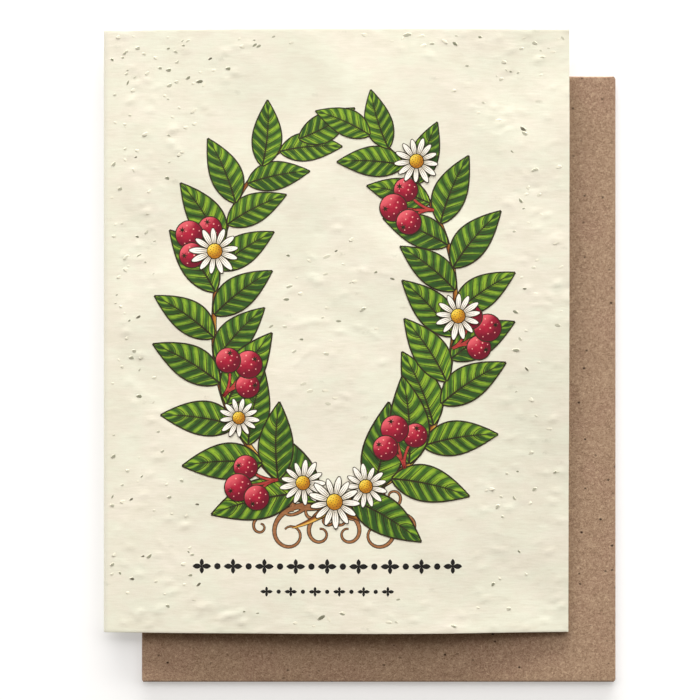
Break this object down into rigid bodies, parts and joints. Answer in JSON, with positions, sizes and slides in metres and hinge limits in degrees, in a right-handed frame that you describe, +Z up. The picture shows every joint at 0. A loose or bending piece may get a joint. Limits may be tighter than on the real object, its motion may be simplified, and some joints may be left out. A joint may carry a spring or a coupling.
{
  "type": "greeting card with envelope",
  "caption": "Folded greeting card of seeded paper with a printed front, lying on its plain kraft paper envelope. The card opens like a book and the envelope's seal flap folds out.",
  "frame": {"origin": "under the middle of the whole set, on the surface that it lies on", "axes": "+Z up out of the card's front, +Y to the top of the card, +X to the card's free edge, so the fold is at -X"},
  "size_m": [0.1192, 0.1516, 0.0052],
  "materials": {
    "seeded_paper": "matt, soft, with raised seeds and plant flecks",
    "kraft_paper": "matt brown kraft with fine fibres",
    "dried_gum": "smooth dried gum, slightly glossy"
  },
  "bodies": {
    "card_and_envelope": {"card_back_leaf": "seeded_paper", "card_fold": "seeded_paper", "envelope_front_panel": "kraft_paper", "envelope_back_panel": "kraft_paper", "envelope_long_fold": "kraft_paper", "envelope_end_flap_top": "kraft_paper", "envelope_end_flap_bottom": "kraft_paper", "envelope_end_fold_top": "kraft_paper", "envelope_end_fold_bottom": "kraft_paper", "envelope_flap_fold": "kraft_paper"},
    "front_leaf": {"card_front_leaf": "seeded_paper"},
    "seal_flap": {"envelope_seal_flap": "kraft_paper", "envelope_gum_strip": "dried_gum"}
  },
  "joints": [
    {"name": "card_hinge", "type": "hinge", "parent": "card_and_envelope", "child": "front_leaf", "pos_m": [-0.05885, 0.00594, 0.00215], "axis": [0, -1, 0], "range_deg": [0, 178.8], "deforming": ["card_fold"]},
    {"name": "flap_hinge", "type": "hinge", "parent": "card_and_envelope", "child": "seal_flap", "pos_m": [0.0589, -0.00519, 0.0007], "axis": [0, -1, 0], "range_deg": [0, 180], "deforming": ["envelope_flap_fold"]}
  ]
}
